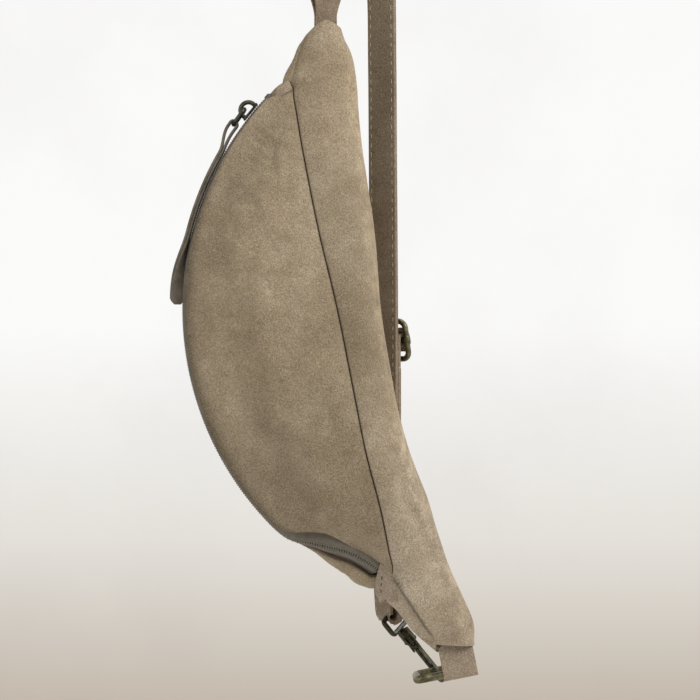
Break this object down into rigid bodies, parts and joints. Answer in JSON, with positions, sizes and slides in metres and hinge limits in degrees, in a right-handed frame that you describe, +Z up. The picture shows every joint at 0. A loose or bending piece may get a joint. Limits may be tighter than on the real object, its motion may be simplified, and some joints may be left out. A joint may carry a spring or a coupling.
{
  "type": "belt bag",
  "caption": "Half-moon suede belt bag hanging by its strap, with a zip on the convex edge, leather pull, strap adjuster, snap hook and rings.",
  "frame": {"origin": "where the bag hangs: the underside of the strap at the top of its bend", "axes": "+Z up along the hanging strap, -Y to the front of the bag, -X to the side of the zip"},
  "size_m": [0.1808, 0.0856, 0.6105],
  "materials": {
    "suede": "matt napped suede, taupe",
    "strap_suede": "matt napped suede, taupe, with light edge stitching",
    "pull_leather": "dark grey-brown leather",
    "lining": "plain woven cotton",
    "zip_tape": "woven tape with moulded teeth in its colour",
    "zip_metal": "dark plated metal",
    "antique_brass": "dark antique brass, worn bright on its edges"
  },
  "bodies": {
    "bag": {"front_panel": "suede", "rear_panel": "suede", "back_panel": "suede", "lining": "lining", "zip_stringer_front": "zip_tape", "zip_stringer_rear": "zip_tape", "zip_top_stop": "zip_metal", "zip_bottom_stop": "zip_metal", "zip_end_tab_top": "suede", "zip_end_tab_bottom": "suede", "tab_top": "suede", "tab_bottom": "suede", "ring_top": "antique_brass", "strap_long": "strap_suede", "strap_return": "strap_suede"},
    "slider": {"zip_slider_body": "zip_metal", "zip_slider_back": "zip_metal", "zip_slider_bow": "zip_metal"},
    "pull_link": {"zip_pull_link": "zip_metal"},
    "pull": {"zip_pull_leather": "pull_leather", "zip_pull_eye": "pull_leather"},
    "adjuster": {"adjuster_frame": "antique_brass", "strap_end_loop": "strap_suede", "strap_bridge": "strap_suede"},
    "ring": {"ring_bottom": "antique_brass"},
    "swivel_eye": {"hook_eye": "antique_brass"},
    "hook": {"hook_body": "antique_brass", "hook_gate_pin": "antique_brass", "hook_spring": "antique_brass"},
    "gate": {"hook_gate": "antique_brass"}
  },
  "joints": [
    {"name": "zip_travel", "type": "hinge", "parent": "bag", "child": "slider", "pos_m": [0.08235, 0, -0.38793], "axis": [0, -1, 0], "range_deg": [0, 82]},
    {"name": "link_swing", "type": "hinge", "parent": "slider", "child": "pull_link", "pos_m": [-0.06099, 0, -0.27229], "axis": [0, -1, 0], "range_deg": [-82, 0]},
    {"name": "pull_swing", "type": "hinge", "parent": "pull_link", "child": "pull", "pos_m": [-0.06749, 0, -0.28116], "axis": [0, 1, 0], "range_deg": [0, 110]},
    {"name": "adjuster_slide", "type": "slide", "parent": "bag", "child": "adjuster", "axis": [0, 0, -1], "range_m": [0, 0.06], "deforming": ["strap_return"]},
    {"name": "ring_tilt", "type": "hinge", "parent": "bag", "child": "ring", "pos_m": [0.06392, 0, -0.59832], "axis": [-0.9806, 0, -0.1959], "range_deg": [-3, 0]},
    {"name": "eye_tilt", "type": "hinge", "parent": "bag", "child": "swivel_eye", "pos_m": [0.02343, 0.0271, -0.56772], "axis": [0, 1, 0], "range_deg": [-1.4, 2]},
    {"name": "hook_swivel", "type": "hinge", "parent": "swivel_eye", "child": "hook", "pos_m": [0.03092, 0.0271, -0.57696], "axis": [0.6293, 0, -0.7771], "range_deg": [-6, 6]},
    {"name": "gate_open", "type": "hinge", "parent": "hook", "child": "gate", "pos_m": [0.03856, 0.0219, -0.58641], "axis": [0.7771, 0, 0.6293], "range_deg": [0, 22], "stiffness_Nm_per_rad": 0.004, "springref_deg": -28.65}
  ],
  "couplings": [
    {"joint": "link_swing", "follows": "zip_travel", "ratio": -1}
  ]
}
